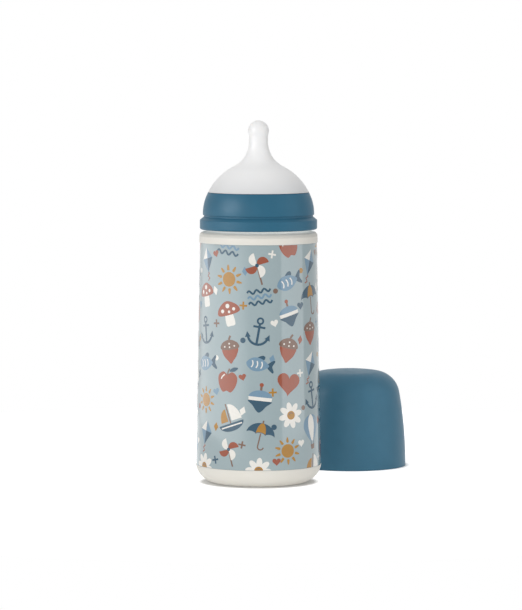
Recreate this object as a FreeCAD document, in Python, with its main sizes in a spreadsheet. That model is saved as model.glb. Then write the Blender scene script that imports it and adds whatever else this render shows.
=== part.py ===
"""Baby bottle: a wide-neck bottle with a printed film, a screw collar, a silicone teat and a cap.

Millimetres, +Z up, origin at the centre of the bottle's foot. Bottle, film, collar and teat share
the Z axis. The cap stands mouth down on the same floor, beside the bottle and behind it.
"""
import FreeCAD
import Part
import Sketcher
import os
from math import atan2, hypot, pi, sqrt

# Driving sizes: alias, value, meaning
SIZES = [
    ("body_height", "136.1", "floor to the top of the shoulder"),
    ("base_radius", "34.4", "wall line carried down to the floor"),
    ("shoulder_ledge", "5.7", "neck to the wall line carried up to the top of the shoulder"),
    ("wall", "1.5", "bottle wall"),
    ("base_corner", "11.5", "rounding between wall and foot"),
    ("shoulder_corner", "2.5", "rounding of the shoulder"),
    ("foot_radius", "18.0", "inner edge of the ring the bottle stands on"),
    ("punt_depth", "1.6", "hollow under the base"),
    ("neck_radius", "26.2", "outside of the neck, without thread"),
    ("neck_height", "17.2", "shoulder to rim"),
    ("neck_root", "2.2", "rounding where the neck leaves the shoulder"),
    ("rim_edge", "0.4", "rounding of the rim"),
    ("film_bottom", "9.8", "floor to the lower edge of the film's recess"),
    ("film_top_margin", "5.8", "upper edge of the film's recess below the shoulder"),
    ("film_recess", "0.68", "depth of the recess"),
    ("film_thickness", "0.2", "printed film"),
    ("film_bond", "0.08", "gap between film and wall"),
    ("film_edge_gap", "0.1", "gap round the film's edges"),
    ("window_angle", "36", "bare strip at the back, for the scale"),
    ("window_gap_angle", "0.3", "gap beside each end of the film"),
    ("thread_room", "2.2", "radial room for both threads"),
    ("collar_gap", "1.15", "shoulder to the underside of the collar"),
    ("collar_wall", "1.7", "collar dome outside the bore"),
    ("flange_inset", "0.2", "collar flange inside the shoulder line"),
    ("flange_height", "5.1", "upright face of the flange"),
    ("flange_slope", "1.8", "rise of the slope above that face"),
    ("flange_edge", "0.5", "rounding between that face and the slope"),
    ("flange_foot", "1.0", "rounding under the flange"),
    ("snap_groove_width", "0.9", "groove that the cap snaps into"),
    ("snap_groove_depth", "0.6", "depth of that groove"),
    ("collar_skirt", "0.65", "upright foot of the collar's dome"),
    ("collar_curve", "24.5", "arc of the collar's dome"),
    ("collar_edge", "0.35", "rounding of the dome's edges"),
    ("bore_height", "12.2", "straight threaded part of the bore"),
    ("lip_thickness", "1.8", "inward lip that clamps the teat"),
    ("rim_inset", "0.3", "edge of the teat's flange inside the edge of the rim"),
    ("teat_flange", "2.0", "thickness of the flange clamped on the rim"),
    ("waist_step", "2.4", "flange edge to the waist inside the collar's lip"),
    ("root_wall", "1.5", "wall of the waist"),
    ("lip_clearance", "0.3", "waist to lip"),
    ("seat_clearance", "0.3", "teat flange to collar"),
    ("overlap_gap", "0.2", "collar top to the teat's overhang"),
    ("overlap_thickness", "1.8", "web that carries the overhang"),
    ("overhang", "3.7", "waist to the lower edge of the teat's dome"),
    ("dome_drop", "13.3", "lower edge of the dome to the centre of its arc"),
    ("flare_curve", "15.0", "hollow arc up to the nipple"),
    ("nipple_radius", "5.13", "upright part of the nipple"),
    ("ball_radius", "5.62", "rounded tip of the nipple"),
    ("nipple_length", "11.4", "foot of the upright part to the tip"),
    ("teat_wall", "1.6", "wall of dome and nipple"),
    ("nipple_blend", "2.5", "rounding under the ball"),
    ("milk_hole", "0.5", "diameter of the hole in the tip"),
    ("cap_clearance", "0.3", "collar dome to the inside of the cap"),
    ("cap_wall", "1.1", "wall of the cap"),
    ("cap_headroom", "0.7", "tip of the teat to the inside of the crown"),
    ("cap_side_curve", "240", "gentle arc of the cap's side"),
    ("cap_corner", "14.2", "arc between side and crown"),
    ("cap_crown_curve", "110", "gentle arc of the crown"),
    ("cap_edge", "0.35", "rounding of the cap's mouth"),
    ("bead_radius", "0.55", "section of the snap bead"),
    ("bead_set", "0.05", "centre of that section behind the inner wall"),
    ("cap_stand_x", "51.5", "where the cap stands, to the right"),
    ("cap_stand_y", "78.0", "where the cap stands, to the back"),
]

# Heights and radii worked out from the driving sizes
RIM = "(dims.body_height + dims.neck_height)"
FLOOR = "(dims.punt_depth + dims.wall)"
CEILING = "(dims.body_height - dims.wall)"
SHOULDER = "(dims.neck_radius + dims.shoulder_ledge)"
RECESS_TOP = "(dims.body_height - dims.film_top_margin)"

FLANGE_TOP = f"({RIM} + dims.teat_flange)"
COLLAR_TOP = f"({FLANGE_TOP} + dims.lip_thickness)"
TEAT_EDGE = f"({COLLAR_TOP} + dims.overlap_gap)"
TEAT_FLANGE = "(dims.neck_radius - dims.rim_inset)"
WAIST = f"({TEAT_FLANGE} - dims.waist_step)"
DOME_EDGE = f"({WAIST} + dims.overhang)"
DOME_CENTRE = f"({TEAT_EDGE} - dims.dome_drop)"
DOME_CURVE = f"sqrt({DOME_EDGE}^2 + dims.dome_drop^2)"
STEM_FOOT = (f"({DOME_CENTRE} + sqrt(({DOME_CURVE} + dims.flare_curve)^2"
             f" - (dims.nipple_radius + dims.flare_curve)^2))")
TEAT_TIP = f"({STEM_FOOT} + dims.nipple_length)"

COLLAR_BASE = "(dims.body_height + dims.collar_gap)"
SLOPE_FOOT = f"({COLLAR_BASE} + dims.flange_height)"
SNAP_BOTTOM = f"({SLOPE_FOOT} + dims.flange_slope)"
SNAP_TOP = f"({SNAP_BOTTOM} + dims.snap_groove_width)"
BORE = "(dims.neck_radius + dims.thread_room)"
COLLAR_SIDE = f"({BORE} + dims.collar_wall)"
COLLAR_FLANGE = f"({SHOULDER} - dims.flange_inset)"
SNAP_RADIUS = f"({COLLAR_SIDE} - dims.snap_groove_depth)"
LIP = f"({WAIST} + dims.lip_clearance)"

CAP_INSIDE = f"({COLLAR_SIDE} + dims.cap_clearance)"
CAP_OUTSIDE = f"({CAP_INSIDE} + dims.cap_wall)"
CAP_SEAT = (f"({SLOPE_FOOT} + dims.flange_slope * ({COLLAR_FLANGE} - {CAP_INSIDE})"
            f" / ({COLLAR_FLANGE} - {SNAP_RADIUS}))")
CAP_HEIGHT = f"({TEAT_TIP} - {CAP_SEAT} + dims.cap_headroom + dims.cap_wall)"

doc = FreeCAD.newDocument("baby_bottle")
sheet = doc.addObject("Spreadsheet::Sheet", "dims")
for row, (alias, value, meaning) in enumerate(SIZES, start=1):
    sheet.set(f"A{row}", meaning)
    sheet.set(f"B{row}", value)
    sheet.setAlias(f"B{row}", alias)
doc.recompute()


def size(expression):
    """The value that an expression on the sheet has now."""
    return float(sheet.evalExpression(expression))


def wall_radius(height):
    """Expression for the outside of the bottle's tapered wall at a height."""
    return f"(dims.base_radius + ({SHOULDER} - dims.base_radius) * {height} / dims.body_height)"


def circle_crossing(centre_a, radius_a, centre_b, radius_b):
    """The two points where two circles cross."""
    dx = centre_b[0] - centre_a[0]
    dy = centre_b[1] - centre_a[1]
    gap = hypot(dx, dy)
    along = (gap ** 2 + radius_a ** 2 - radius_b ** 2) / (2 * gap)
    across = sqrt(radius_a ** 2 - along ** 2)
    foot = (centre_a[0] + along * dx / gap, centre_a[1] + along * dy / gap)
    step = (across * dy / gap, -across * dx / gap)
    return (foot[0] + step[0], foot[1] + step[1]), (foot[0] - step[0], foot[1] - step[1])


def toward(start, end, distance):
    """The point at a distance from start on the line to end."""
    share = distance / hypot(end[0] - start[0], end[1] - start[1])
    return start[0] + share * (end[0] - start[0]), start[1] + share * (end[1] - start[1])


def new_body(label):
    body = doc.addObject("PartDesign::Body", label)
    body.Label = label
    return body


def new_sketch(body, name, role):
    """A sketch on one of the body's own origin planes."""
    sketch = body.newObject("Sketcher::SketchObject", name)
    plane = next(item for item in body.Origin.OriginFeatures if item.Role == role)
    sketch.AttachmentSupport = [(plane, "")]
    sketch.MapMode = "FlatFace"
    return sketch


def bind(sketch, kind, where, expression):
    """Add a driving constraint whose value follows an expression."""
    index = sketch.addConstraint(Sketcher.Constraint(kind, *where, size(expression)))
    sketch.setExpression(f"Constraints[{index}]", expression)


class HalfSection:
    """A closed outline on a body's XZ plane: x is the radius, y the height."""

    def __init__(self, body, name):
        self.sketch = new_sketch(body, name, "XZ_Plane")
        self.ends = []

    def side(self, start, end, centre=None, smooth=False):
        """Add a line, or an arc about a centre, that goes on from the side before."""
        first = FreeCAD.Vector(start[0], start[1], 0)
        last = FreeCAD.Vector(end[0], end[1], 0)
        if centre is None:
            geometry = Part.LineSegment(first, last)
            ends = (1, 2)
        else:
            middle = FreeCAD.Vector(centre[0], centre[1], 0)
            angle = atan2(first.y - middle.y, first.x - middle.x)
            turn = atan2(last.y - middle.y, last.x - middle.x) - angle
            turn = (turn + pi) % (2 * pi) - pi
            circle = Part.Circle(middle, FreeCAD.Vector(0, 0, 1), (first - middle).Length)
            geometry = Part.ArcOfCircle(circle, min(angle, angle + turn), max(angle, angle + turn))
            ends = (1, 2) if turn > 0 else (2, 1)
        index = self.sketch.addGeometry(geometry, False)
        self.ends.append(ends)
        if index > 0:
            self.join(index - 1, index, "Tangent" if smooth else "Coincident")
        return index

    def join(self, before, after, kind):
        where = (before, self.ends[before][1], after, self.ends[after][0])
        self.sketch.addConstraint(Sketcher.Constraint(kind, *where))

    def close(self):
        self.join(len(self.ends) - 1, 0, "Coincident")

    def at(self, index, radius=None, height=None):
        """Place the start of a side."""
        point = (index, self.ends[index][0])
        for axis, kind, expression in ((-2, "DistanceX", radius), (-1, "DistanceY", height)):
            if expression == "0":
                self.sketch.addConstraint(Sketcher.Constraint("PointOnObject", *point, axis))
            elif expression is not None:
                bind(self.sketch, kind, (-1, 1, *point), expression)

    def radius(self, index, expression):
        bind(self.sketch, "Radius", (index,), expression)

    def line_through(self, index, radius, height):
        """Make a straight side, carried on if need be, pass through a fixed point."""
        point = self.sketch.addGeometry(Part.Point(FreeCAD.Vector(size(radius), size(height), 0)), True)
        bind(self.sketch, "DistanceX", (-1, 1, point, 1), radius)
        bind(self.sketch, "DistanceY", (-1, 1, point, 1), height)
        self.sketch.addConstraint(Sketcher.Constraint("PointOnObject", point, 1, index))

    def centre_on(self, index, axis):
        """Keep an arc's centre on the sketch's height axis (-2) or radius axis (-1)."""
        self.sketch.addConstraint(Sketcher.Constraint("PointOnObject", index, 3, axis))


def straight_section(body, name, corners):
    """A half-section with straight sides between corners given as expressions."""
    section = HalfSection(body, name)
    points = [(size(radius), size(height)) for radius, height in corners]
    for index, point in enumerate(points):
        section.side(point, points[(index + 1) % len(points)])
    section.close()
    for index, (radius, height) in enumerate(corners):
        section.at(index, radius, height)
    return section.sketch


def turn(body, kind, name, sketch, angle="360"):
    """Revolve a half-section about its height axis, evenly to both sides of its plane."""
    feature = body.newObject(f"PartDesign::{kind}", name)
    feature.Profile = sketch
    feature.ReferenceAxis = (sketch, ["V_Axis"])
    feature.Midplane = True
    feature.setExpression("Angle", angle)
    doc.recompute()
    return feature


def ring_edges(feature, rings):
    """Names of a feature's circular edges at (radius, height) expressions."""
    names = []
    for radius, height in rings:
        found = []
        for index, edge in enumerate(feature.Shape.Edges, start=1):
            if edge.Degenerated or not isinstance(edge.Curve, Part.Circle):
                continue
            curve = edge.Curve
            if abs(curve.Radius - size(radius)) < 0.01 and abs(curve.Center.z - size(height)) < 0.01:
                found.append(f"Edge{index}")
        if not found:
            raise ValueError(f"{feature.Name} has no edge at radius {radius}, height {height}")
        names += found
    return names


def round_rings(body, name, rings, expression):
    """Fillet the circular edges of the body's latest feature."""
    base = body.Tip
    feature = body.newObject("PartDesign::Fillet", name)
    feature.Base = (base, ring_edges(base, rings))
    feature.setExpression("Radius", expression)
    doc.recompute()
    return feature


def hollow(body, name, sketch, angle="360"):
    """Cut a revolved half-section out of the body."""
    before = body.Shape.Volume
    turn(body, "Groove", name, sketch, angle)
    if body.Shape.Volume > before - 1:
        raise ValueError(f"{name} cut nothing")


def bottle_inside_section(body):
    """Inside of the bottle: flat floor, rounded corner, tapered wall, ceiling and neck."""
    corner_curve = "dims.base_corner - dims.wall"
    wall_foot = f"{wall_radius(FLOOR)} - dims.wall"
    wall_top = f"{wall_radius(CEILING)} - dims.wall"
    neck_inside = "dims.neck_radius - dims.wall"
    above_rim = f"{RIM} + dims.wall"

    curve = size(corner_curve)
    floor = size(FLOOR)
    lean = size(f"(dims.base_radius - {SHOULDER}) / dims.body_height")
    slant = hypot(1, lean)
    centre = (size(wall_foot) - lean * curve - curve * slant, floor + curve)
    wall_start = (centre[0] + curve / slant, centre[1] + curve * lean / slant)
    corners = [(wall_top, CEILING), (neck_inside, CEILING), (neck_inside, above_rim), ("0", above_rim)]
    points = [(size(radius), size(height)) for radius, height in corners]

    section = HalfSection(body, "inside_section")
    section.side((0, floor), (centre[0], floor))
    corner = section.side((centre[0], floor), wall_start, centre=centre, smooth=True)
    wall = section.side(wall_start, points[0], smooth=True)
    for start, end in zip(points, points[1:] + [(0, floor)]):
        section.side(start, end)
    section.close()
    section.at(0, "0", FLOOR)
    section.sketch.addConstraint(Sketcher.Constraint("Horizontal", 0))
    section.radius(corner, corner_curve)
    section.line_through(wall, wall_foot, FLOOR)
    for index, (radius, height) in enumerate(corners, start=wall + 1):
        section.at(index, radius, height)
    return section.sketch


def build_bottle():
    """Blow-moulded bottle: tapered wall, rounded base with a hollow, shoulder and wide neck."""
    body = new_body("bottle")
    section = HalfSection(body, "bottle_section")
    punt = size("dims.punt_depth")
    foot = size("dims.foot_radius")
    punt_curve = "(dims.foot_radius^2 + dims.punt_depth^2) / (2 * dims.punt_depth)"
    section.side((0, punt), (foot, 0), centre=(0, punt - size(punt_curve)))
    corners = [
        ("dims.foot_radius", "0"),
        ("dims.base_radius", "0"),
        (SHOULDER, "dims.body_height"),
        ("dims.neck_radius", "dims.body_height"),
        ("dims.neck_radius", RIM),
        ("0", RIM),
    ]
    points = [(size(radius), size(height)) for radius, height in corners]
    for start, end in zip(points, points[1:] + [(0, punt)]):
        section.side(start, end)
    section.close()
    section.at(0, "0", "dims.punt_depth")
    section.radius(0, punt_curve)
    for index, (radius, height) in enumerate(corners, start=1):
        section.at(index, radius, height)
    turn(body, "Revolution", "bottle_solid", section.sketch)
    round_rings(body, "base_rounding", [("dims.base_radius", "0")], "dims.base_corner")
    round_rings(body, "shoulder_rounding", [(SHOULDER, "dims.body_height")], "dims.shoulder_corner")
    round_rings(body, "neck_rounding", [("dims.neck_radius", "dims.body_height")], "dims.neck_root")

    hollow(body, "bottle_inside", bottle_inside_section(body))
    neck_inside = "dims.neck_radius - dims.wall"
    round_rings(body, "shoulder_inside", [(f"{wall_radius(CEILING)} - dims.wall", CEILING)],
                "dims.shoulder_corner - dims.wall")
    round_rings(body, "neck_inside", [(neck_inside, CEILING)], "dims.neck_root + dims.wall")
    round_rings(body, "rim_rounding", [("dims.neck_radius", RIM), (neck_inside, RIM)], "dims.rim_edge")

    recess = [
        (f"{wall_radius('dims.film_bottom')} - dims.film_recess", "dims.film_bottom"),
        (f"{wall_radius('dims.film_bottom')} + dims.wall", "dims.film_bottom"),
        (f"{wall_radius(RECESS_TOP)} + dims.wall", RECESS_TOP),
        (f"{wall_radius(RECESS_TOP)} - dims.film_recess", RECESS_TOP),
    ]
    sketch = straight_section(body, "recess_section", recess)
    hollow(body, "film_recess", sketch, "360 - dims.window_angle")
    face_window_back(body)
    return body


def build_print_film():
    """Printed film in the bottle's recess, open at the back."""
    body = new_body("print_film")
    bottom = "(dims.film_bottom + dims.film_edge_gap)"
    top = f"({RECESS_TOP} - dims.film_edge_gap)"
    inside = "dims.film_bond - dims.film_recess"
    outside = f"{inside} + dims.film_thickness"
    corners = [
        (f"{wall_radius(bottom)} + {inside}", bottom),
        (f"{wall_radius(bottom)} + {outside}", bottom),
        (f"{wall_radius(top)} + {outside}", top),
        (f"{wall_radius(top)} + {inside}", top),
    ]
    sketch = straight_section(body, "film_section", corners)
    turn(body, "Revolution", "film_sheet", sketch,
         "360 - dims.window_angle - 2 * dims.window_gap_angle")
    face_window_back(body)
    return body


def face_window_back(body):
    """Turn a body whose bare strip was made at -X so that the strip faces +Y."""
    body.Placement = FreeCAD.Placement(FreeCAD.Vector(), FreeCAD.Rotation(FreeCAD.Vector(0, 0, 1), -90))


def build_collar():
    """Screw collar: flange, snap groove, domed side and the inward lip over the teat's flange."""
    body = new_body("collar")
    thread_top = f"({COLLAR_BASE} + dims.bore_height)"
    corners = [
        (BORE, COLLAR_BASE),
        (COLLAR_FLANGE, COLLAR_BASE),
        (COLLAR_FLANGE, SLOPE_FOOT),
        (SNAP_RADIUS, SNAP_BOTTOM),
        (SNAP_RADIUS, SNAP_TOP),
        (COLLAR_SIDE, SNAP_TOP),
        (COLLAR_SIDE, f"{SNAP_TOP} + dims.collar_skirt"),
        (None, COLLAR_TOP),
        (LIP, COLLAR_TOP),
        (LIP, FLANGE_TOP),
        (f"{TEAT_FLANGE} + dims.seat_clearance", FLANGE_TOP),
        (BORE, thread_top),
    ]
    curve = size("dims.collar_curve")
    dome_centre = (size(COLLAR_SIDE) - curve, size(SNAP_TOP) + size("dims.collar_skirt"))
    rise = size(COLLAR_TOP) - dome_centre[1]
    shoulder = dome_centre[0] + sqrt(curve ** 2 - rise ** 2)
    points = [(shoulder if radius is None else size(radius), size(height)) for radius, height in corners]

    section = HalfSection(body, "collar_section")
    arc = corners.index((None, COLLAR_TOP)) - 1
    for index, point in enumerate(points):
        end = points[(index + 1) % len(points)]
        if index == arc:
            section.side(point, end, centre=dome_centre, smooth=True)
        else:
            section.side(point, end)
    section.close()
    for index, (radius, height) in enumerate(corners):
        section.at(index, radius, height)
    section.radius(arc, "dims.collar_curve")
    turn(body, "Revolution", "collar_solid", section.sketch)
    round_rings(body, "flange_rounding", [(COLLAR_FLANGE, SLOPE_FOOT)], "dims.flange_edge")
    round_rings(body, "foot_rounding", [(COLLAR_FLANGE, COLLAR_BASE)], "dims.flange_foot")
    round_rings(body, "dome_rounding", [(COLLAR_SIDE, SNAP_TOP), (LIP, COLLAR_TOP)], "dims.collar_edge")
    return body


def teat_section(body, name, inset):
    """The teat's dome, flare, stem and ball, drawn a distance inside the outer skin."""
    dome_curve = f"{DOME_CURVE} - {inset}"
    flare_curve = f"dims.flare_curve + {inset}"
    stem_radius = f"dims.nipple_radius - {inset}"
    ball_curve = f"dims.ball_radius - {inset}"
    tip = f"{TEAT_TIP} - {inset}"

    edge_height = size(TEAT_EDGE)
    stem_across = size(stem_radius)
    dome_centre = (0, size(DOME_CENTRE))
    edge = (sqrt(size(dome_curve) ** 2 - (edge_height - dome_centre[1]) ** 2), edge_height)
    flare_across = stem_across + size(flare_curve)
    flare_rise = sqrt((size(dome_curve) + size(flare_curve)) ** 2 - flare_across ** 2)
    flare_centre = (flare_across, dome_centre[1] + flare_rise)
    inflection = toward(dome_centre, flare_centre, size(dome_curve))
    stem_foot = (stem_across, flare_centre[1])
    top = (0, size(tip))
    ball_centre = (0, size(tip) - size(ball_curve))
    ball_foot = (stem_across, ball_centre[1] - sqrt(size(ball_curve) ** 2 - stem_across ** 2))

    section = HalfSection(body, name)
    section.side((0, edge_height), edge)
    dome = section.side(edge, inflection, centre=dome_centre)
    flare = section.side(inflection, stem_foot, centre=flare_centre, smooth=True)
    stem = section.side(stem_foot, ball_foot, smooth=True)
    ball = section.side(ball_foot, top, centre=ball_centre)
    axis = section.side(top, (0, edge_height))
    section.close()
    section.at(0, "0", TEAT_EDGE)
    section.at(dome, None, TEAT_EDGE)
    section.centre_on(dome, -2)
    bind(section.sketch, "DistanceY", (-1, 1, dome, 3), DOME_CENTRE)
    section.radius(dome, dome_curve)
    section.radius(flare, flare_curve)
    section.at(stem, stem_radius)
    section.sketch.addConstraint(Sketcher.Constraint("Vertical", stem))
    section.radius(ball, ball_curve)
    section.centre_on(ball, -2)
    section.at(axis, "0", tip)
    return section.sketch


def build_teat():
    """One-piece teat: dome, flare and ball-tipped nipple, with a waist and flange for the collar."""
    body = new_body("teat")
    turn(body, "Revolution", "dome_solid", teat_section(body, "dome_section", "0"))
    ball_foot = f"{TEAT_TIP} - dims.ball_radius - sqrt(dims.ball_radius^2 - dims.nipple_radius^2)"
    round_rings(body, "nipple_rounding", [("dims.nipple_radius", ball_foot)], "dims.nipple_blend")
    hollow(body, "teat_inside", teat_section(body, "inside_section", "dims.teat_wall"))

    web = f"({TEAT_EDGE} + dims.overlap_thickness)"
    root = [
        (f"{WAIST} - dims.root_wall", RIM),
        (TEAT_FLANGE, RIM),
        (TEAT_FLANGE, FLANGE_TOP),
        (WAIST, FLANGE_TOP),
        (WAIST, TEAT_EDGE),
        (f"{DOME_EDGE} - dims.teat_wall / 2", TEAT_EDGE),
        (f"{DOME_EDGE} - dims.teat_wall", web),
        (WAIST, web),
        (f"{WAIST} - dims.root_wall", f"{web} - dims.overlap_thickness / 2"),
    ]
    turn(body, "Revolution", "teat_root", straight_section(body, "root_section", root))

    before = body.Shape.Volume
    hole = new_sketch(body, "hole_section", "XY_Plane")
    circle = Part.Circle(FreeCAD.Vector(), FreeCAD.Vector(0, 0, 1), size("dims.milk_hole") / 2)
    hole.addGeometry(circle, False)
    hole.addConstraint(Sketcher.Constraint("Coincident", 0, 3, -1, 1))
    bind(hole, "Diameter", (0,), "dims.milk_hole")
    pocket = body.newObject("PartDesign::Pocket", "milk_hole")
    pocket.Profile = hole
    pocket.Type = "ThroughAll"
    pocket.Reversed = True
    doc.recompute()
    if body.Shape.Volume >= before:
        raise ValueError("the hole in the tip cut nothing")
    return body


def cap_section(body, name, inset):
    """The cap's side, corner and crown, drawn a distance inside the outer skin."""
    mouth_radius = f"{CAP_OUTSIDE} - {inset}"
    height = f"{CAP_HEIGHT} - {inset}"
    side_curve = f"dims.cap_side_curve - {inset}"
    corner_curve = f"dims.cap_corner - {inset}"
    crown_curve = f"dims.cap_crown_curve - {inset}"

    mouth = (size(mouth_radius), 0)
    top = (0, size(height))
    side_centre = (mouth[0] - size(side_curve), 0)
    crown_centre = (0, top[1] - size(crown_curve))
    corner_centre = max(circle_crossing(side_centre, size(side_curve) - size(corner_curve),
                                        crown_centre, size(crown_curve) - size(corner_curve)))
    side_end = toward(side_centre, corner_centre, size(side_curve))
    crown_start = toward(crown_centre, corner_centre, size(crown_curve))

    section = HalfSection(body, name)
    section.side((0, 0), mouth)
    side = section.side(mouth, side_end, centre=side_centre)
    corner = section.side(side_end, crown_start, centre=corner_centre, smooth=True)
    crown = section.side(crown_start, top, centre=crown_centre, smooth=True)
    axis = section.side(top, (0, 0))
    section.close()
    section.at(0, "0", "0")
    section.at(side, mouth_radius, "0")
    section.centre_on(side, -1)
    section.radius(side, side_curve)
    section.radius(corner, corner_curve)
    section.radius(crown, crown_curve)
    section.centre_on(crown, -2)
    section.at(axis, "0", height)
    return section.sketch


def build_cap():
    """Cap: a tall cup with a rounded crown and a bead inside its mouth that snaps on the collar."""
    body = new_body("cap")
    turn(body, "Revolution", "cap_solid", cap_section(body, "cap_section", "0"))
    hollow(body, "cap_inside", cap_section(body, "inside_section", "dims.cap_wall"))
    round_rings(body, "mouth_rounding", [(CAP_OUTSIDE, "0"), (CAP_INSIDE, "0")], "dims.cap_edge")

    bead_height = f"({SNAP_BOTTOM} + dims.snap_groove_width / 2 - {CAP_SEAT})"
    bead_centre = FreeCAD.Vector(size(f"{CAP_INSIDE} + dims.bead_set"), size(bead_height), 0)
    bead = new_sketch(body, "bead_section", "XZ_Plane")
    circle = Part.Circle(bead_centre, FreeCAD.Vector(0, 0, 1), size("dims.bead_radius"))
    bead.addGeometry(circle, False)
    bind(bead, "DistanceX", (-1, 1, 0, 3), f"{CAP_INSIDE} + dims.bead_set")
    bind(bead, "DistanceY", (-1, 1, 0, 3), bead_height)
    bind(bead, "Radius", (0,), "dims.bead_radius")
    turn(body, "Revolution", "snap_bead", bead)
    body.setExpression("Placement.Base.x", "dims.cap_stand_x")
    body.setExpression("Placement.Base.y", "dims.cap_stand_y")
    return body


bodies = [build_bottle(), build_print_film(), build_collar(), build_teat(), build_cap()]
doc.recompute()

for item in doc.Objects:
    if "Invalid" in item.State or "Error" in item.State:
        raise ValueError(f"{item.Name} failed: {item.State}")
for body in bodies:
    if body.Shape.isNull() or not body.Shape.isValid():
        raise ValueError(f"{body.Label} has no valid shape")

os.makedirs("parts", exist_ok=True)
for body in bodies:
    body.Shape.exportStep(f"parts/{body.Label}.step")
    box = body.Shape.optimalBoundingBox()
    print(f"{body.Label}: volume {body.Shape.Volume:.0f}, x {box.XMin:.2f} to {box.XMax:.2f},"
          f" y {box.YMin:.2f} to {box.YMax:.2f}, z {box.ZMin:.2f} to {box.ZMax:.2f}")
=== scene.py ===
"""Looks of a wide-neck baby bottle and its loose cap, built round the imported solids.

The frame is in metres. The print and the volume scale are drawn flat in millimetres, u to the right and v
up, and then wrapped round the wall. Angles round the bottle start at its front and rise to the right.
"""

from math import atan2, cos, hypot, pi, radians, sin, tau
from random import Random

import bmesh
import bpy
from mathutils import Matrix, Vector
from mathutils.geometry import tessellate_polygon


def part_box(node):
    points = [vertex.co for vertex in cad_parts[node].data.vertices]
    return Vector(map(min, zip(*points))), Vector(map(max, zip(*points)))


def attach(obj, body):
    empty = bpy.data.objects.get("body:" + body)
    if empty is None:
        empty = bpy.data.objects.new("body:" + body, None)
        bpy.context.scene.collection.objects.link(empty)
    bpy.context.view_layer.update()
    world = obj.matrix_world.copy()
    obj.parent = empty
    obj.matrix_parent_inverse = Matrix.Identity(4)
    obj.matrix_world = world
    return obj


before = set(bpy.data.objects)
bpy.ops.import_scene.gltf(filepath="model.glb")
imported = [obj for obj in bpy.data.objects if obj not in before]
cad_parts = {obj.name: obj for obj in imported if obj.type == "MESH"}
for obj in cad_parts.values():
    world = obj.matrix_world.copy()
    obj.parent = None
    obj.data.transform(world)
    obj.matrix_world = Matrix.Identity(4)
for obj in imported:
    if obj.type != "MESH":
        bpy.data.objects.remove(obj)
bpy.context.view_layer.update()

MM = 0.001


# Colours and materials

# heights of the bottle's painted shade ring and painted neck glow, and of the teat's painted shade and
# light
SHOULDER_EDGE = 133.7 * MM  # lower end of the shoulder's rounding
NECK_FOOT = 136.0 * MM  # top of the shoulder
NECK_ROOT = 137.7 * MM  # upper end of the gap under the collar
BLEND = 0.3 * MM  # half the height over which a tone changes there
TEAT_FOOT = 157.5 * MM
TEAT_FLARE = 168.5 * MM


def screen(red, green, blue):
    """Linear colour of a screen colour given in steps of 0 to 255."""
    linear = []
    for step in (red, green, blue):
        value = step / 255
        linear.append(value / 12.92 if value <= 0.04045 else ((value + 0.055) / 1.055) ** 2.4)
    return (*linear, 1.0)


def shifted(colour, factor):
    """The same colour, a little darker or lighter."""
    return (*(channel * factor for channel in colour[:3]), 1.0)


def new_material(name, roughness):
    """A node material and its shader."""
    material = bpy.data.materials.new(name)
    material.use_nodes = True
    shader = material.node_tree.nodes["Principled BSDF"]
    shader.inputs["Roughness"].default_value = roughness
    shader.inputs["IOR"].default_value = 1.49
    return material, shader


def noise(material, scale, detail):
    """Noise in the object's own space; returns its value socket. Scale counts waves per metre."""
    nodes = material.node_tree.nodes
    place = nodes.new("ShaderNodeTexCoord")
    texture = nodes.new("ShaderNodeTexNoise")
    texture.inputs["Scale"].default_value = scale
    texture.inputs["Detail"].default_value = detail
    material.node_tree.links.new(place.outputs["Object"], texture.inputs["Vector"])
    return texture.outputs["Fac"]


def mottle(material, shader, colour, spread, scale, detail=3.0):
    """Colour that drifts by a small share to either side of the given one."""
    ramp = material.node_tree.nodes.new("ShaderNodeValToRGB")
    dark, light = ramp.color_ramp.elements
    dark.position = 0.3
    dark.color = shifted(colour, 1 - spread)
    light.position = 0.7
    light.color = shifted(colour, 1 + spread)
    links = material.node_tree.links
    links.new(noise(material, scale, detail), ramp.inputs["Fac"])
    links.new(ramp.outputs["Color"], shader.inputs["Base Color"])


def uneven_gloss(material, shader, low, high, scale):
    """Roughness that varies over the surface, as on a moulded or handled face."""
    span = material.node_tree.nodes.new("ShaderNodeMapRange")
    span.inputs["From Min"].default_value = 0.3
    span.inputs["From Max"].default_value = 0.7
    span.inputs["To Min"].default_value = low
    span.inputs["To Max"].default_value = high
    links = material.node_tree.links
    links.new(noise(material, scale, 4.0), span.inputs["Value"])
    links.new(span.outputs["Result"], shader.inputs["Roughness"])


def grain(material, shader, scale, depth):
    """Fine relief of the surface, depth in metres."""
    bump = material.node_tree.nodes.new("ShaderNodeBump")
    bump.inputs["Strength"].default_value = 1.0
    bump.inputs["Distance"].default_value = depth
    links = material.node_tree.links
    links.new(noise(material, scale, 2.0), bump.inputs["Height"])
    links.new(bump.outputs["Normal"], shader.inputs["Normal"])


def soften(shader, weight, reach):
    """Light that scatters under the surface, reaching that far in metres."""
    shader.inputs["Subsurface Weight"].default_value = weight
    shader.inputs["Subsurface Radius"].default_value = (1.0, 0.95, 0.88)
    shader.inputs["Subsurface Scale"].default_value = reach


def above(material, low, high):
    """Socket that rises from 0 to 1 between two heights in metres."""
    nodes = material.node_tree.nodes
    links = material.node_tree.links
    place = nodes.new("ShaderNodeTexCoord")
    axes = nodes.new("ShaderNodeSeparateXYZ")
    span = nodes.new("ShaderNodeMapRange")
    span.inputs["From Min"].default_value = low
    span.inputs["From Max"].default_value = high
    links.new(place.outputs["Object"], axes.inputs[0])
    links.new(axes.outputs["Z"], span.inputs["Value"])
    return span.outputs["Result"]


def band(material, low, high):
    """Socket that is 1 between two heights in metres and 0 beyond them."""
    links = material.node_tree.links
    both = material.node_tree.nodes.new("ShaderNodeMath")
    both.operation = "MULTIPLY"
    links.new(above(material, low - BLEND, low + BLEND), both.inputs[0])
    links.new(above(material, high + BLEND, high - BLEND), both.inputs[1])
    return both.outputs[0]


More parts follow.
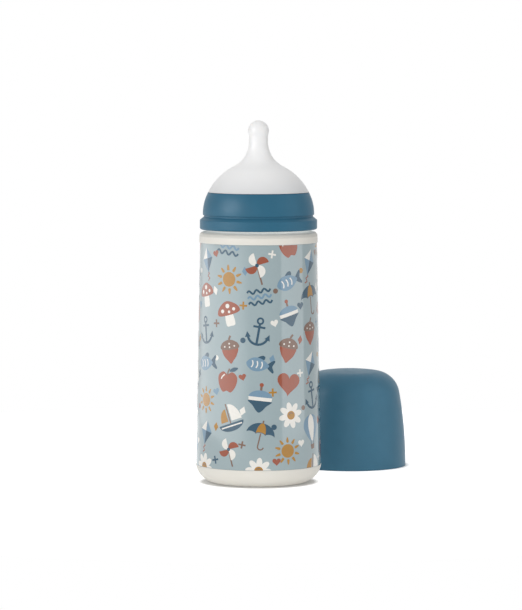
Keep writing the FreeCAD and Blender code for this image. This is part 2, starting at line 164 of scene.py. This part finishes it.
def tint(material, shader, colour, where):
    """Lets the base colour pass into another one where a socket is 1."""
    links = material.node_tree.links
    before = shader.inputs["Base Color"].links[0].from_socket
    mix = material.node_tree.nodes.new("ShaderNodeMix")
    mix.data_type = "RGBA"
    mix.inputs["B"].default_value = colour
    links.new(where, mix.inputs["Factor"])
    links.new(before, mix.inputs["A"])
    links.new(mix.outputs["Result"], shader.inputs["Base Color"])


def milky_plastic():
    """Cloudy plastic with a painted shade ring round the shoulder's top and a painted glow at the neck's
    root, standing in for light inside the shoulder and neck.
    """
    material, shader = new_material("milky_plastic", 0.46)
    shader.inputs["Specular IOR Level"].default_value = 0.15
    mottle(material, shader, screen(232, 229, 221), 0.01, 60)
    # painted shade: a greyer ring from the shoulder's rounding up to the neck's root, where the collar
    # shades it
    tint(material, shader, screen(212, 210, 203), band(material, SHOULDER_EDGE, NECK_ROOT))
    # painted glow: the neck's root under the collar gives off light of its own, standing in for light
    # carried through the milky wall
    shader.inputs["Emission Color"].default_value = screen(174, 176, 174)
    links = material.node_tree.links
    links.new(band(material, NECK_FOOT, NECK_ROOT), shader.inputs["Emission Strength"])
    uneven_gloss(material, shader, 0.42, 0.5, 140)
    grain(material, shader, 2200, 0.000004)
    soften(shader, 0.4, 0.0012)
    return material


def film_gloss(name, colour, spread):
    """Printed film or ink on it: a smooth, hard, clear skin over an even colour."""
    material, shader = new_material(name, 0.09)
    shader.inputs["IOR"].default_value = 1.6
    mottle(material, shader, colour, spread, 900, 5.0)
    uneven_gloss(material, shader, 0.07, 0.11, 90)
    return material


def blue_plastic(name, colour, roughness):
    """Coloured plastic with a fine satin grain."""
    material, shader = new_material(name, roughness)
    shader.inputs["Specular IOR Level"].default_value = 0.18
    mottle(material, shader, colour, 0.03, 120)
    uneven_gloss(material, shader, roughness - 0.04, roughness + 0.04, 200)
    grain(material, shader, 3000, 0.000006)
    return material


def silicone():
    """Soft translucent white that is set greyer low on the dome and paler towards the flare: painted shade
    below and painted light above, for less or more light coming through.
    """
    material, shader = new_material("silicone", 0.4)
    # painted shade: the greyer base colour low on the dome, faded by height into painted light towards the
    # flare
    mottle(material, shader, screen(226, 227, 228), 0.006, 80)
    tint(material, shader, screen(252, 252, 252), above(material, TEAT_FOOT, TEAT_FLARE))
    shader.inputs["Specular IOR Level"].default_value = 0.3
    uneven_gloss(material, shader, 0.36, 0.44, 160)
    grain(material, shader, 1800, 0.000004)
    soften(shader, 0.3, 0.0006)
    shader.inputs["Transmission Weight"].default_value = 0.08
    return material


# Flat drawing, in millimetres


def oval(x, y, wide, high, start=0, end=360):
    """Points of an ellipse, or of the part of it between two angles in degrees."""
    steps = max(6, round(abs(end - start) / 12))
    whole = abs(end - start) >= 360
    points = []
    for step in range(steps if whole else steps + 1):
        angle = radians(start + (end - start) * step / steps)
        points.append((x + wide * cos(angle), y + high * sin(angle)))
    return points


def disc(x, y, radius):
    return oval(x, y, radius, radius)


def bow(x, y, radius, width, start, end):
    """Curved band of that width along a circle."""
    outer = oval(x, y, radius + width / 2, radius + width / 2, start, end)
    inner = oval(x, y, radius - width / 2, radius - width / 2, end, start)
    return outer + inner


def smooth(corners, steps=5):
    """Closed smooth outline through a few points."""
    points = []
    count = len(corners)
    for index in range(count):
        before, first, second, after = (Vector(corners[(index + shift) % count]) for shift in (-1, 0, 1, 2))
        for step in range(steps):
            t = step / steps
            rise = second - before
            bend = 2 * before - 5 * first + 4 * second - after
            twist = 3 * (first - second) + after - before
            point = first + 0.5 * (rise * t + bend * t**2 + twist * t**3)
            points.append((point.x, point.y))
    return points


def line(points, width):
    """Outline of a line of that width along the points."""
    left = []
    right = []
    for index, point in enumerate(points):
        before = Vector(points[max(index - 1, 0)])
        after = Vector(points[min(index + 1, len(points) - 1)])
        along = (after - before).normalized()
        aside = Vector((-along.y, along.x)) * width / 2
        left.append(tuple(Vector(point) + aside))
        right.append(tuple(Vector(point) - aside))
    return right + left[::-1]


def turned(points, degrees, x=0.0, y=0.0, scale=1.0):
    """Points turned about the origin, scaled and then shifted."""
    c = cos(radians(degrees)) * scale
    s = sin(radians(degrees)) * scale
    return [(x + c * u - s * v, y + s * u + c * v) for u, v in points]


# Motifs of the print: lists of ink and outline, from the lowest layer up


def sailboat():
    hull = oval(0, -2.4, 6.2, 3.6, 180, 360)
    main = oval(0.8, -1.4, 5.0, 7.6, 0, 90) + [(0.8, -1.4)]
    jib = oval(-0.9, -1.4, 3.7, 5.8, 90, 180) + [(-0.9, -1.4)]
    mast = line([(0, -2.4), (0, 6.6)], 0.6)
    stripe = line([(-5.2, -3.6), (5.2, -3.6)], 0.6)
    return [("brown", mast), ("white", main), ("mustard", jib), ("navy", hull), ("white", stripe)]


def fish():
    body = smooth([(-6.2, 0), (-3.4, 2.9), (0.6, 2.9), (4.2, 0.7), (4.2, -0.7), (0.6, -2.9), (-3.4, -2.9)])
    tail = smooth([(3.4, 0), (6.4, 2.9), (7.2, 2.3), (6.2, 0), (7.2, -2.3), (6.4, -2.9)])
    fin = smooth([(-1.8, 2.6), (0.6, 4.4), (2.2, 4.0), (1.6, 2.3)])
    shape = [("navy", fin), ("navy", tail), ("slate", body)]
    for x in (-2.6, -0.4, 1.8):
        shape.append(("white", bow(x - 3.0, 0, 2.6, 0.55, -38, 38)))
    return shape


def heart(ink="terracotta", scale=0.34):
    points = []
    for step in range(36):
        t = tau * step / 36
        high = 13 * cos(t) - 5 * cos(2 * t) - 2 * cos(3 * t) - cos(4 * t)
        points.append((scale * 16 * sin(t) ** 3, scale * high))
    return [(ink, points)]


def acorn():
    nut = smooth([(-3.6, 0.6), (-3.2, -2.6), (-1.3, -5.0), (0, -6.3), (1.3, -5.0), (3.2, -2.6), (3.6, 0.6)])
    cup = smooth([(-4.5, 0.4), (-3.6, 2.9), (0, 4.2), (3.6, 2.9), (4.5, 0.4), (0, -0.2)])
    stem = line([(0, 3.6), (0.3, 4.8), (1.0, 5.9)], 0.9)
    shape = [("terracotta", nut), ("brown", stem), ("brown", cup)]
    for x, y in ((-2.4, 1.3), (0, 2.5), (0, 0.9), (2.4, 1.3)):
        shape.append(("white", disc(x, y, 0.38)))
    return shape


def umbrella():
    scallops = []
    for x in (4.4, 0, -4.4):
        scallops += oval(x, 0, 2.2, 1.0, 0, 180)
    canopy = oval(0, 0, 6.6, 5.6, 180, 0)[:-1] + scallops[:-1]
    panel = oval(0, 0.4, 2.2, 5.2, 180, 0)[:-1] + oval(0, 0.4, 2.2, 0.8, 0, 180)[:-1]
    pole = line([(0, 0.8), (0, -5.4)], 0.6)
    hook = bow(1.3, -5.4, 1.3, 0.6, 180, 360)
    tip = line([(0, 5.2), (0, 6.8)], 0.7)
    return [("brown", pole), ("brown", hook), ("brown", tip), ("navy", canopy), ("mustard", panel)]


def kite():
    middle = (0, 1.2)
    corners = [(0, 6.2), (4.2, 1.2), (0, -5.2), (-4.2, 1.2)]
    shape = []
    for index, ink in enumerate(("slate", "navy", "slate", "white")):
        shape.append((ink, [middle, corners[(index + 1) % 4], corners[index]]))
    tail = [(0.7 * sin(1.6 * step), -5.2 - 0.55 * step) for step in range(8)]
    shape.append(("terracotta", line(tail, 0.5)))
    return shape


def pinwheel():
    shape = [("brown", line([(0, 0), (0, -8.2)], 0.7))]
    vane = oval(2.6, 0, 2.6, 2.9, 0, 180)
    for index in range(4):
        ink = "terracotta" if index % 2 == 0 else "white"
        shape.append((ink, turned(vane, 90 * index)))
    shape.append(("navy", disc(0, 0, 0.8)))
    return shape


def mushroom():
    stem = smooth([(-1.6, 1.0), (-2.2, -4.6), (0, -5.2), (2.2, -4.6), (1.6, 1.0)])
    cap = smooth([(-5.6, 0.4), (-4.6, 3.6), (0, 5.9), (4.6, 3.6), (5.6, 0.4), (0, -0.4)])
    shape = [("white", stem), ("terracotta", cap)]
    for x, y, radius in ((-2.9, 2.0, 0.85), (0.2, 3.7, 1.0), (3.0, 1.8, 0.75), (0.4, 1.0, 0.6)):
        shape.append(("white", disc(x, y, radius)))
    return shape


def daisy():
    petal = oval(3.7, 0, 2.4, 1.35)
    shape = [("white", turned(petal, 45 * index)) for index in range(8)]
    shape.append(("mustard", disc(0, 0, 2.0)))
    shape.append(("brown", bow(0, 0, 1.1, 0.4, 20, 160)))
    return shape


def apple():
    half = [(0, 3.3), (2.4, 4.3), (4.8, 2.2), (4.3, -1.8), (2.1, -4.8)]
    body = smooth(half + [(0, -4.2)] + [(-x, y) for x, y in half[:0:-1]])
    stem = line([(0, 2.8), (0.2, 4.4), (0.9, 5.8)], 0.7)
    leaf = smooth([(0.9, 4.6), (2.6, 6.4), (5.0, 6.4), (3.4, 4.7)])
    shine = bow(0, 0, 3.3, 0.6, 115, 165)
    return [("terracotta", body), ("brown", stem), ("navy", leaf), ("white", shine)]


def balloon():
    side = [(0, 7.2), (3.9, 5.6), (5.0, 2.2), (3.2, -1.6), (1.2, -3.8)]
    gores = []
    for share in (1.0, 0.42):
        right = [(x * share, y) for x, y in side]
        gores.append(smooth(right + [(-x, y) for x, y in right[:0:-1]]))
    ropes = [line([(x, -3.6), (0.85 * x, -5.6)], 0.3) for x in (-1.0, 1.0)]
    basket = [(-1.4, -5.4), (-1.1, -7.4), (1.1, -7.4), (1.4, -5.4)]
    shape = [("navy", rope) for rope in ropes]
    shape += [("slate", gores[0]), ("white", gores[1]), ("brown", basket)]
    return shape


def sun():
    shape = [("mustard", disc(0, 0, 3.2))]
    for index in range(10):
        ray = smooth([(4.1, -0.6), (4.1, 0.6), (6.2, 0.3), (6.2, -0.3)], 3)
        shape.append(("mustard", turned(ray, 36 * index)))
    return shape


def waves():
    shape = []
    along = [0.5 * step - 5.5 for step in range(23)]
    for height, ink in ((2.6, "navy"), (0, "slate"), (-2.6, "navy")):
        crest = [(x, height + 0.8 * sin((x + 5.5) * tau / 3.6)) for x in along]
        shape.append((ink, line(crest, 0.9)))
    return shape


def anchor():
    shape = [("navy", bow(0, 5.0, 1.2, 0.8, 0, 180)), ("navy", bow(0, 5.0, 1.2, 0.8, 180, 360))]
    shape.append(("navy", line([(0, 3.9), (0, -5.0)], 1.0)))
    shape.append(("navy", line([(-2.6, 2.4), (2.6, 2.4)], 0.9)))
    shape.append(("navy", bow(0, -0.6, 4.5, 1.0, 200, 340)))
    for side in (-1, 1):
        shape.append(("navy", [(side * 3.0, -2.2), (side * 5.4, -2.9), (side * 4.9, -0.2)]))
    return shape


def spinning_top():
    handle = line([(0, 3.0), (0, 6.0)], 1.0)
    knob = disc(0, 6.2, 0.9)
    upper = oval(0, 0.6, 5.2, 3.2, 0, 180)
    belt = [(-5.2, 0.8), (-5.0, -0.8), (5.0, -0.8), (5.2, 0.8)]
    lower = smooth([(-4.9, -0.7), (-3.0, -3.0), (0, -6.0), (3.0, -3.0), (4.9, -0.7)])
    return [("brown", handle), ("terracotta", knob), ("slate", upper), ("navy", lower), ("white", belt)]


MOTIFS = (
    sailboat, daisy, acorn, waves, heart, umbrella, balloon, mushroom, anchor, sun, fish, kite, apple,
    spinning_top, pinwheel,
)
FILLER_INKS = ("white", "terracotta", "navy", "mustard", "slate", "white", "brown")


def filler(index):
    """A small mark for the gaps between motifs."""
    ink = FILLER_INKS[index % len(FILLER_INKS)]
    kind = index % 4
    if kind == 0:
        return [(ink, disc(0, 0, 1.15))]
    if kind == 1:
        return [(ink, line([(-1.7, 0), (1.7, 0)], 0.8)), (ink, line([(0, -1.7), (0, 1.7)], 0.8))]
    if kind == 2:
        return [(ink, [(-1.4, 0), (0, -2.1), (1.4, 0), (0, 2.1)])]
    return heart(ink, 0.11)


# Wrapping of flat shapes round the wall, in millimetres

CUT_WIDTH = 1.3  # flat step round the wall
LAYER = 0.006  # one layer over the other
SKIN = 0.045  # lowest layer over the wall
SINK = 0.06  # underside below the wall's face


def cone(node, angle):
    """Radius of a node's outer face by height, read off at two heights on one side of it."""
    out = Vector((sin(angle), -cos(angle), 0))
    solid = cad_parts[node]
    reach = []
    heights = (30 * MM, 110 * MM)
    for height in heights:
        start = out + Vector((0, 0, height))
        point = solid.ray_cast(start, -out)[1]
        reach.append(hypot(point.x, point.y))
    slope = (reach[1] - reach[0]) / (heights[1] - heights[0])
    return lambda height: reach[0] + slope * (height - heights[0])


class Flat:
    """Flat shapes of one colour, each at its own height over the wall, that become closed thin shells."""

    def __init__(self):
        self.mesh = bmesh.new()

    def add(self, outline, layer=0):
        """One outline, filled, some layers above the lowest."""
        corners = [Vector((u, v, SKIN + layer * LAYER)) for u, v in outline]
        points = [self.mesh.verts.new(corner) for corner in corners]
        for triangle in tessellate_polygon([corners]):
            self.mesh.faces.new([points[index] for index in triangle])

    def add_text(self, words, u, v, size):
        """Digits or a unit, centred on u, v."""
        font = bpy.data.curves.new("figures", "FONT")
        font.body = words
        font.size = size
        font.align_x = "CENTER"
        font.align_y = "CENTER"
        carrier = bpy.data.objects.new("figures", font)
        glyphs = bpy.data.meshes.new_from_object(carrier)
        points = [self.mesh.verts.new((u + p.co.x, v + p.co.y, SKIN)) for p in glyphs.vertices]
        for polygon in glyphs.polygons:
            self.mesh.faces.new([points[index] for index in polygon.vertices])
        bpy.data.objects.remove(carrier)
        bpy.data.curves.remove(font)
        bpy.data.meshes.remove(glyphs)

    def cut(self, u, v, across, keep=None):
        """Cuts along a straight line; keep drops what lies beyond (1) or before (-1) it."""
        geometry = self.mesh.verts[:] + self.mesh.edges[:] + self.mesh.faces[:]
        bmesh.ops.bisect_plane(
            self.mesh, geom=geometry, dist=1e-5, plane_co=(u, v, 0), plane_no=across,
            clear_outer=keep == 1, clear_inner=keep == -1,
        )

    def trim(self, width, height):
        """Keeps what lies inside a rectangle about the origin."""
        for side in (-1, 1):
            self.cut(side * width / 2, 0, (1, 0, 0), side)
            self.cut(0, side * height / 2, (0, 1, 0), side)

    def wrapped(self, name, radius, middle, angle, reference):
        """The shells as one object; middle is the height of v = 0 and angle the place of u = 0."""
        bmesh.ops.remove_doubles(self.mesh, verts=self.mesh.verts[:], dist=1e-4)
        span = [vert.co.x for vert in self.mesh.verts]
        steps = range(int(min(span) / CUT_WIDTH) - 1, int(max(span) / CUT_WIDTH) + 2)
        for step in steps:
            self.cut(step * CUT_WIDTH, 0, (1, 0, 0))
        self.mesh.verts.index_update()
        points = []
        normals = []
        for over in (True, False):
            for vert in self.mesh.verts:
                turn = angle + vert.co.x * MM / reference
                height = middle + vert.co.y * MM
                reach = radius(height) + (vert.co.z if over else -SINK) * MM
                points.append((reach * sin(turn), -reach * cos(turn), height))
                sign = 1 if over else -1
                normals.append((sign * sin(turn), -sign * cos(turn), 0))
        faces = []
        count = len(self.mesh.verts)
        for face in self.mesh.faces:
            face.normal_update()
            if face.normal.z < 0:
                face.normal_flip()
            corners = [loop.vert.index for loop in face.loops]
            faces.append(corners)
            faces.append([count + index for index in reversed(corners)])
        for face in self.mesh.faces:
            for loop in face.loops:
                if len(loop.edge.link_faces) == 1:
                    first = loop.vert.index
                    second = loop.link_loop_next.vert.index
                    faces.append([count + first, count + second, second, first])
        self.mesh.free()
        shells = new_mesh(name, points, faces)
        shells.data.normals_split_custom_set_from_vertices(normals)
        return shells


def new_mesh(name, points, faces):
    """A smooth-shaded object from points and faces."""
    mesh = bpy.data.meshes.new(name)
    mesh.from_pydata(points, [], faces)
    mesh.polygons.foreach_set("use_smooth", [True] * len(mesh.polygons))
    mesh.update()
    piece = bpy.data.objects.new(name, mesh)
    bpy.context.scene.collection.objects.link(piece)
    return piece


def finish_piece(piece, material, body):
    """Gives a piece its material and its body."""
    piece.data.materials.append(material)
    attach(piece, body)


# Print on the film

INKS = {
    "navy": screen(23, 73, 97),
    "slate": screen(108, 142, 166),
    "terracotta": screen(150, 68, 36),
    "mustard": screen(170, 119, 18),
    "white": screen(230, 227, 220),
    "brown": screen(118, 88, 72),
}
COLUMN = 16.9
ROW = 18.2
COLUMNS = 11
ROWS = 8


def print_layout():
    """Inks and outlines of the whole print, in columns that are offset by half a row in turn."""
    draw = Random(11)
    shapes = {ink: Flat() for ink in INKS}
    deck = []
    for column in range(COLUMNS):
        for row in range(ROWS):
            if not deck:
                deck = draw.sample(MOTIFS, len(MOTIFS))
            u = COLUMN * (column - (COLUMNS - 1) / 2)
            v = ROW * (row - (ROWS - 1) / 2 + (0.25 if column % 2 else -0.25))
            motif = deck.pop()()
            mark = filler(3 * column + row)
            for outlines, aside, lift in ((motif, 0, 0), (mark, COLUMN / 2, ROW / 4)):
                size = draw.uniform(1.14, 1.3)
                tilt = draw.uniform(-20, 20)
                x = u + aside + draw.uniform(-1.1, 1.1)
                y = v + lift + draw.uniform(-1.1, 1.1)
                for layer, (ink, outline) in enumerate(outlines):
                    shapes[ink].add(turned(outline, tilt, x, y, size), layer)
    return shapes


def print_on_film():
    """One piece of shells for each ink."""
    low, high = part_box("print_film")
    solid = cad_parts["print_film"]
    half_turn = max(abs(atan2(point.co.x, -point.co.y)) for point in solid.data.vertices)
    radius = cone("print_film", 0)
    middle = (low.z + high.z) / 2
    reference = radius(middle)
    margin = 0.3
    width = 2 * half_turn * reference / MM - margin
    height = (high.z - low.z) / MM - margin
    for ink, flat in print_layout().items():
        flat.trim(width, height)
        shells = flat.wrapped("print_" + ink, radius, middle, 0, reference)
        finish_piece(shells, film_gloss("ink_" + ink, INKS[ink], 0.03), "bottle")


# Volume scale on the bare back of the bottle, in millimetres and millilitres

INNER_BASE = 32.9  # inner radius carried down to the table
INNER_TAPER = 0.0184  # loss of radius with height
INNER_FLOOR = 3.1  # height of the inner floor
CORNER_LOSS = 4100  # cubic millimetres that the rounded corner takes
MARK_STEP = 30
MARKS = 12


def fill_height(millilitres):
    """Height of the surface of that much liquid in the slightly conical inside."""
    height = INNER_FLOOR
    left = millilitres * 1000 + CORNER_LOSS
    step = 0.05
    while left > 0:
        left -= pi * (INNER_BASE - INNER_TAPER * height) ** 2 * step
        height += step
    return height


def volume_scale():
    radius = cone("bottle", pi)
    reference = radius(70 * MM)
    flat = Flat()
    for mark in range(1, MARKS + 1):
        volume = mark * MARK_STEP
        v = fill_height(volume)
        numbered = mark % 2 == 0
        flat.add(line([(-8.2, v), (-2.6 if numbered else -5.0, v)], 0.45))
        if numbered:
            flat.add_text(str(volume), 2.8, v, 4.6)
    flat.add_text("ml", 2.8, fill_height(MARKS * MARK_STEP) + 5.4, 4.2)
    marks = flat.wrapped("volume_scale", radius, 0, pi, reference)
    finish_piece(marks, film_gloss("ink_scale", screen(82, 110, 130), 0.03), "bottle")


# Screw threads under the collar

LEAD = 6 * MM
THREAD_TURNS = 1.5
THREAD_START = 139 * MM
RIDGE_FOOT = 2.3 * MM
RIDGE_TOP = 1.0 * MM
FADE = 30
NECK_RADIUS = 26.2 * MM
BORE_RADIUS = 28.4 * MM
RIDGE_HEIGHT = 1.25 * MM
ROOT_DEPTH = 0.3 * MM


def thread(name, face, inward, first_angle):
    """A right-handed ridge on a round face, inward on a bore, that runs out flat at both ends."""
    sign = -1 if inward else 1
    points = []
    steps = round(THREAD_TURNS * 120)
    for step in range(steps + 1):
        degrees = 360 * THREAD_TURNS * step / steps
        near_end = min(degrees, 360 * THREAD_TURNS - degrees)
        rise = min(1.0, near_end / FADE) * (RIDGE_HEIGHT + ROOT_DEPTH) - 0.9 * ROOT_DEPTH
        height = THREAD_START + LEAD * degrees / 360
        turn = radians(first_angle + degrees)
        outline = (
            (face - sign * ROOT_DEPTH, -RIDGE_FOOT / 2),
            (face + sign * rise, -RIDGE_TOP / 2),
            (face + sign * rise, RIDGE_TOP / 2),
            (face - sign * ROOT_DEPTH, RIDGE_FOOT / 2),
        )
        for reach, shift in outline[::sign]:
            points.append((reach * sin(turn), -reach * cos(turn), height + shift))
    faces = [(3, 2, 1, 0)]
    for step in range(steps):
        for corner in range(4):
            first = 4 * step + corner
            second = 4 * step + (corner + 1) % 4
            faces.append((first, second, second + 4, first + 4))
    faces.append(tuple(4 * steps + corner for corner in range(4)))
    ridge = new_mesh(name, points, faces)
    ridge.data.set_sharp_from_angle(angle=radians(35))
    return ridge


# Materials of the solids and all pieces


def dress():
    milky = milky_plastic()
    collar_blue = blue_plastic("collar_blue", screen(44, 99, 125), 0.42)
    looks = {
        "bottle": milky,
        "print_film": film_gloss("film", screen(152, 169, 173), 0.012),
        "collar": collar_blue,
        "teat": silicone(),
        "cap": blue_plastic("cap_blue", screen(63, 111, 135), 0.42),
    }
    for node, material in looks.items():
        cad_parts[node].material_slots[0].material = material
    print_on_film()
    volume_scale()
    finish_piece(thread("neck_thread", NECK_RADIUS, False, 0), milky, "bottle")
    finish_piece(thread("collar_thread", BORE_RADIUS, True, 180), collar_blue, "collar")


# Stage: floor, light and camera


def white_to_sight(tree, lit, seen):
    """Joins two shaders: seen for camera, glossy and transmission rays, lit for the rest."""
    nodes = tree.nodes
    links = tree.links
    path = nodes.new("ShaderNodeLightPath")
    last = path.outputs["Is Camera Ray"]
    for ray in ("Is Glossy Ray", "Is Transmission Ray"):
        either = nodes.new("ShaderNodeMath")
        either.operation = "MAXIMUM"
        links.new(last, either.inputs[0])
        links.new(path.outputs[ray], either.inputs[1])
        last = either.outputs[0]
    mix = nodes.new("ShaderNodeMixShader")
    links.new(last, mix.inputs[0])
    links.new(lit, mix.inputs[1])
    links.new(seen, mix.inputs[2])
    return mix.outputs[0]


def studio_world():
    """White to look at; as a light, brighter from the front left than from the right."""
    world = bpy.data.worlds.new("studio")
    world.use_nodes = True
    bpy.context.scene.world = world
    tree = world.node_tree
    nodes = tree.nodes
    nodes.clear()
    links = tree.links
    place = nodes.new("ShaderNodeTexCoord")
    toward = nodes.new("ShaderNodeVectorMath")
    toward.operation = "DOT_PRODUCT"
    toward.inputs[1].default_value = Vector((-0.40, -0.55, 0.73)).normalized()
    span = nodes.new("ShaderNodeMapRange")
    span.inputs["From Min"].default_value = -1.0
    span.inputs["From Max"].default_value = 1.0
    span.inputs["To Min"].default_value = 0.25
    span.inputs["To Max"].default_value = 1.08
    soft = nodes.new("ShaderNodeBackground")
    white = nodes.new("ShaderNodeBackground")
    white.inputs["Color"].default_value = (1, 1, 1, 1)
    white.inputs["Strength"].default_value = 1.0
    out = nodes.new("ShaderNodeOutputWorld")
    links.new(place.outputs["Generated"], toward.inputs[0])
    links.new(toward.outputs["Value"], span.inputs["Value"])
    links.new(span.outputs["Result"], soft.inputs["Strength"])
    links.new(white_to_sight(tree, soft.outputs[0], white.outputs[0]), out.inputs["Surface"])


def floor():
    """A white table top that keeps the shadow where the object stands on it."""
    rim = oval(0, 0.05, 0.35, 0.35)
    top = new_mesh("floor", [(x, y, 0) for x, y in rim], [list(range(len(rim)))])
    material = bpy.data.materials.new("floor_white")
    material.use_nodes = True
    tree = material.node_tree
    tree.nodes.clear()
    matte = tree.nodes.new("ShaderNodeBsdfDiffuse")
    matte.inputs["Color"].default_value = (0.85, 0.85, 0.85, 1)
    open_sky = tree.nodes.new("ShaderNodeAmbientOcclusion")
    open_sky.inputs["Distance"].default_value = 0.0045
    contact = tree.nodes.new("ShaderNodeMapRange")
    contact.inputs["From Min"].default_value = 0.45
    contact.inputs["From Max"].default_value = 0.95
    contact.inputs["To Min"].default_value = 0.0
    contact.inputs["To Max"].default_value = 0.75
    glow = tree.nodes.new("ShaderNodeEmission")
    tree.links.new(open_sky.outputs["AO"], contact.inputs["Value"])
    tree.links.new(contact.outputs["Result"], glow.inputs["Strength"])
    both = tree.nodes.new("ShaderNodeAddShader")
    tree.links.new(matte.outputs[0], both.inputs[0])
    tree.links.new(glow.outputs[0], both.inputs[1])
    bounce = tree.nodes.new("ShaderNodeEmission")
    bounce.inputs["Strength"].default_value = 0.14
    lit = tree.nodes.new("ShaderNodeAddShader")
    tree.links.new(matte.outputs[0], lit.inputs[0])
    tree.links.new(bounce.outputs[0], lit.inputs[1])
    out = tree.nodes.new("ShaderNodeOutputMaterial")
    tree.links.new(white_to_sight(tree, lit.outputs[0], both.outputs[0]), out.inputs["Surface"])
    top.data.materials.append(material)


def panel(name, first_angle, last_angle, distance, radiance, low=-0.25, high=0.65):
    """Light panel between two directions from the axis and two heights, hidden from the camera."""
    ends = []
    for degrees in (first_angle, last_angle):
        ends.append(Vector((sin(radians(degrees)), -cos(radians(degrees)), 0)) * distance)
    middle = (ends[0] + ends[1]) / 2
    lamp = bpy.data.lights.new(name, "AREA")
    lamp.shape = "RECTANGLE"
    lamp.size = (ends[1] - ends[0]).length
    lamp.size_y = high - low
    lamp.energy = radiance * pi * lamp.size * lamp.size_y
    holder = bpy.data.objects.new(name, lamp)
    holder.location = middle + Vector((0, 0, (low + high) / 2))
    holder.rotation_euler = (radians(90), 0, atan2(middle.x, -middle.y))
    holder.visible_camera = False
    bpy.context.scene.collection.objects.link(holder)
    return holder


def fade(holder):
    """Lets a panel's light swell from nothing at its ends to the full in its middle."""
    holder.data.use_nodes = True
    nodes = holder.data.node_tree.nodes
    links = holder.data.node_tree.links
    place = nodes.new("ShaderNodeNewGeometry")
    axes = nodes.new("ShaderNodeSeparateXYZ")
    both = nodes.new("ShaderNodeMath")
    both.operation = "MULTIPLY"
    links.new(place.outputs["Parametric"], axes.inputs[0])
    for end in (0, 1):
        span = nodes.new("ShaderNodeMapRange")
        span.interpolation_type = "SMOOTHSTEP"
        span.inputs["From Min"].default_value = end
        span.inputs["From Max"].default_value = 0.5
        links.new(axes.outputs["X"], span.inputs["Value"])
        links.new(span.outputs["Result"], both.inputs[end])
    links.new(both.outputs[0], nodes["Emission"].inputs["Strength"])


def panels():
    """A hard strip, a soft light and a high one that only reflections show, and a frontal fill light."""
    strip = panel("strip", 44, 94, 0.6, 1.4)
    soft = panel("soft", -148, -14, 0.9, 2.0, -0.25, 0.12)
    fade(soft)
    crest = panel("crest", -80, -40, 0.6, 9.0, 0.17, 0.46)
    for mirrored in (strip, soft, crest):
        mirrored.visible_diffuse = False
    fill = panel("fill", -40, 14, 1.4, 1.35)
    fill.visible_glossy = False
    fill.data.use_shadow = False


def camera():
    """The photograph's view: far off, a little above the teat, looking slightly down."""
    eye = bpy.data.cameras.new("camera")
    eye.sensor_fit = "VERTICAL"
    eye.sensor_height = 36
    eye.lens = 207.7
    holder = bpy.data.objects.new("camera", eye)
    holder.location = (0.00135, -1.9, 0.235)
    holder.rotation_euler = (radians(90 - 4.18), 0, 0)
    bpy.context.scene.collection.objects.link(holder)
    bpy.context.scene.camera = holder


dress()
studio_world()
floor()
panels()
camera()
bpy.context.scene.view_settings.view_transform = "Standard"
